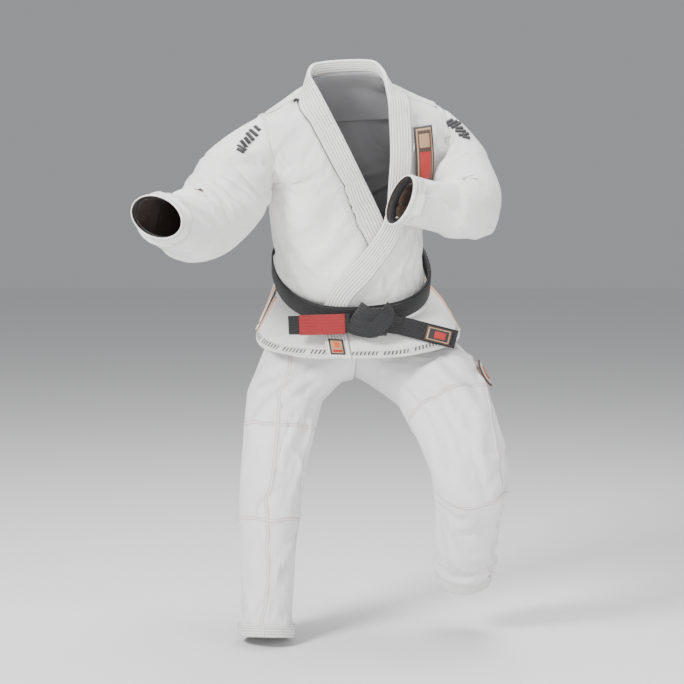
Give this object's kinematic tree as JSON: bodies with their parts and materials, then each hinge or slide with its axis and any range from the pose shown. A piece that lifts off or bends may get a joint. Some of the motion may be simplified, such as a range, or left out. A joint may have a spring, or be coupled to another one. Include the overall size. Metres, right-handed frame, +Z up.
{
  "type": "martial arts uniform",
  "caption": "Wrap-front cotton jacket, loose trousers and knotted belt for grappling, shown as worn in a guard stance.",
  "frame": {"origin": "middle of the uniform's box in X and Y, at the height of the lower trouser hem", "axes": "+Z up, +X towards the wearer's left, -Y the way that the wearer faces; metres"},
  "size_m": [0.7758, 0.5872, 1.2766],
  "materials": {
    "jacket_right_front": "matt woven cotton",
    "jacket_left_front": "matt woven cotton",
    "jacket_back": "matt woven cotton",
    "yoke_lining": "matt woven cotton",
    "lapel": "matt woven cotton",
    "lapel_core": "foam rubber",
    "chest_patch": "matt woven cotton",
    "right_skirt": "matt woven cotton",
    "right_skirt_side": "matt woven cotton",
    "left_skirt": "matt woven cotton",
    "left_skirt_side": "matt woven cotton",
    "back_skirt": "matt woven cotton",
    "back_skirt_right_side": "matt woven cotton",
    "back_skirt_left_side": "matt woven cotton",
    "right_hem_tape": "matt woven cotton",
    "left_hem_tape": "matt woven cotton",
    "back_hem_tape": "matt woven cotton",
    "right_front_vent_tape": "matt woven cotton",
    "left_front_vent_tape": "matt woven cotton",
    "right_back_vent_tape": "matt woven cotton",
    "left_back_vent_tape": "matt woven cotton",
    "under_lapel_end": "matt woven cotton",
    "over_lapel_end": "matt woven cotton",
    "lapel_label": "matt woven cotton",
    "belt_inner_wrap": "matt woven cotton",
    "belt_outer_wrap": "matt woven cotton",
    "belt_knot": "matt woven cotton",
    "red_bar_tail": "matt woven cotton",
    "rank_bar": "matt woven cotton",
    "label_tail": "matt woven cotton",
    "belt_label": "matt woven cotton",
    "right_sleeve_head": "matt woven cotton",
    "right_upper_sleeve": "matt woven cotton",
    "right_elbow": "matt woven cotton",
    "right_forearm_sleeve": "matt woven cotton",
    "right_cuff_band": "matt woven cotton",
    "right_cuff_tape": "matt woven cotton",
    "left_sleeve_head": "matt woven cotton",
    "left_upper_sleeve": "matt woven cotton",
    "left_elbow": "matt woven cotton",
    "left_forearm_sleeve": "matt woven cotton",
    "left_cuff_band": "matt woven cotton",
    "left_cuff_tape": "matt woven cotton",
    "waistband": "matt woven cotton",
    "trouser_seat": "matt woven cotton",
    "crotch_gusset": "matt woven cotton",
    "right_hip": "matt woven cotton",
    "right_thigh": "matt woven cotton",
    "right_knee": "matt woven cotton",
    "right_shin": "matt woven cotton",
    "right_hem": "matt woven cotton",
    "right_knee_patch": "matt woven cotton",
    "left_hip": "matt woven cotton",
    "left_thigh": "matt woven cotton",
    "left_knee": "matt woven cotton",
    "left_shin": "matt woven cotton",
    "left_hem": "matt woven cotton",
    "left_knee_patch": "matt woven cotton",
    "hip_patch": "matt woven cotton"
  },
  "bodies": {
    "uniform": {"belt_inner_wrap": "belt_inner_wrap", "belt_knot": "belt_knot", "belt_outer_wrap": "belt_outer_wrap", "chest_patch": "chest_patch", "crotch_gusset": "crotch_gusset", "jacket_back": "jacket_back", "jacket_left_front": "jacket_left_front", "jacket_right_front": "jacket_right_front", "lapel": "lapel", "lapel_core": "lapel_core", "trouser_seat": "trouser_seat", "waistband": "waistband", "yoke_lining": "yoke_lining"},
    "right_upper_sleeve": {"right_sleeve_head": "right_sleeve_head", "right_upper_sleeve": "right_upper_sleeve"},
    "right_forearm_sleeve": {"right_cuff_band": "right_cuff_band", "right_cuff_tape": "right_cuff_tape", "right_elbow": "right_elbow", "right_forearm_sleeve": "right_forearm_sleeve"},
    "left_upper_sleeve": {"left_sleeve_head": "left_sleeve_head", "left_upper_sleeve": "left_upper_sleeve"},
    "left_forearm_sleeve": {"left_cuff_band": "left_cuff_band", "left_cuff_tape": "left_cuff_tape", "left_elbow": "left_elbow", "left_forearm_sleeve": "left_forearm_sleeve"},
    "right_thigh": {"right_hip": "right_hip", "right_knee_patch": "right_knee_patch", "right_thigh": "right_thigh"},
    "right_shin": {"right_hem": "right_hem", "right_knee": "right_knee", "right_shin": "right_shin"},
    "left_thigh": {"hip_patch": "hip_patch", "left_hip": "left_hip", "left_knee_patch": "left_knee_patch", "left_thigh": "left_thigh"},
    "left_shin": {"left_hem": "left_hem", "left_knee": "left_knee", "left_shin": "left_shin"},
    "right_skirt": {"right_front_vent_tape": "right_front_vent_tape", "right_hem_tape": "right_hem_tape", "right_skirt": "right_skirt", "right_skirt_side": "right_skirt_side", "under_lapel_end": "under_lapel_end"},
    "left_skirt": {"lapel_label": "lapel_label", "left_front_vent_tape": "left_front_vent_tape", "left_hem_tape": "left_hem_tape", "left_skirt": "left_skirt", "left_skirt_side": "left_skirt_side", "over_lapel_end": "over_lapel_end"},
    "back_skirt": {"back_hem_tape": "back_hem_tape", "back_skirt": "back_skirt", "back_skirt_left_side": "back_skirt_left_side", "back_skirt_right_side": "back_skirt_right_side", "left_back_vent_tape": "left_back_vent_tape", "right_back_vent_tape": "right_back_vent_tape"},
    "red_bar_tail": {"rank_bar": "rank_bar", "red_bar_tail": "red_bar_tail"},
    "label_tail": {"belt_label": "belt_label", "label_tail": "label_tail"}
  },
  "joints": [
    {"name": "right_shoulder", "type": "hinge", "parent": "uniform", "child": "right_upper_sleeve", "pos_m": [-0.12703, 0.01891, 1.07022], "axis": [-1, 0, 0], "range_deg": [-25, 30], "deforming": ["right_sleeve_head"]},
    {"name": "right_elbow", "type": "hinge", "parent": "right_upper_sleeve", "child": "right_forearm_sleeve", "pos_m": [-0.2511, -0.08215, 0.89812], "axis": [-0.8316, 0.4367, 0.3431], "range_deg": [-50, 30], "deforming": ["right_elbow"]},
    {"name": "left_shoulder", "type": "hinge", "parent": "uniform", "child": "left_upper_sleeve", "pos_m": [0.25077, 0.08317, 1.09463], "axis": [-1, 0, 0], "range_deg": [-8, 30], "deforming": ["left_sleeve_head"]},
    {"name": "left_elbow", "type": "hinge", "parent": "left_upper_sleeve", "child": "left_forearm_sleeve", "pos_m": [0.33565, -0.05663, 0.92588], "axis": [-0.4228, 0.5819, -0.6947], "range_deg": [-70, 10], "deforming": ["left_elbow"]},
    {"name": "right_hip", "type": "hinge", "parent": "uniform", "child": "right_thigh", "pos_m": [-0.0661, 0.1458, 0.68187], "axis": [-1, 0, 0], "range_deg": [-20, 15], "deforming": ["right_hip"]},
    {"name": "right_knee", "type": "hinge", "parent": "right_thigh", "child": "right_shin", "pos_m": [-0.12009, 0.03783, 0.32895], "axis": [0.9997, -0.0055, -0.0242], "range_deg": [-5, 60], "deforming": ["right_knee"]},
    {"name": "left_hip", "type": "hinge", "parent": "uniform", "child": "left_thigh", "pos_m": [0.1949, 0.1538, 0.68187], "axis": [-1, 0, 0], "range_deg": [-20, 5], "deforming": ["left_hip"]},
    {"name": "left_knee", "type": "hinge", "parent": "left_thigh", "child": "left_shin", "pos_m": [0.3149, -0.0762, 0.41387], "axis": [0.9995, 0.0136, -0.0278], "range_deg": [-60, 25], "deforming": ["left_knee"]},
    {"name": "back_skirt_lift", "type": "hinge", "parent": "uniform", "child": "back_skirt", "pos_m": [0.03494, 0.26351, 0.82619], "axis": [0.9848, 0.1736, 0], "range_deg": [0, 40], "deforming": ["back_skirt_right_side", "back_skirt_left_side", "right_back_vent_tape", "left_back_vent_tape"]},
    {"name": "under_flap_lift", "type": "hinge", "parent": "uniform", "child": "right_skirt", "pos_m": [0.07987, -0.03963, 0.65911], "axis": [-0.9848, -0.1736, 0], "range_deg": [0, 8], "deforming": ["right_skirt_side", "right_front_vent_tape"]},
    {"name": "over_flap_lift", "type": "hinge", "parent": "right_skirt", "child": "left_skirt", "pos_m": [0.07987, -0.03963, 0.65911], "axis": [-0.9848, -0.1736, 0], "range_deg": [0, 3], "deforming": ["left_skirt_side", "left_front_vent_tape"]},
    {"name": "red_bar_tail_swing", "type": "hinge", "parent": "left_skirt", "child": "red_bar_tail", "pos_m": [0.05207, -0.0644, 0.69781], "axis": [0, 0, 1], "range_deg": [0, 40]},
    {"name": "label_tail_swing", "type": "hinge", "parent": "left_skirt", "child": "label_tail", "pos_m": [0.16112, -0.04475, 0.69182], "axis": [0, 0, -1], "range_deg": [0, 30]}
  ]
}
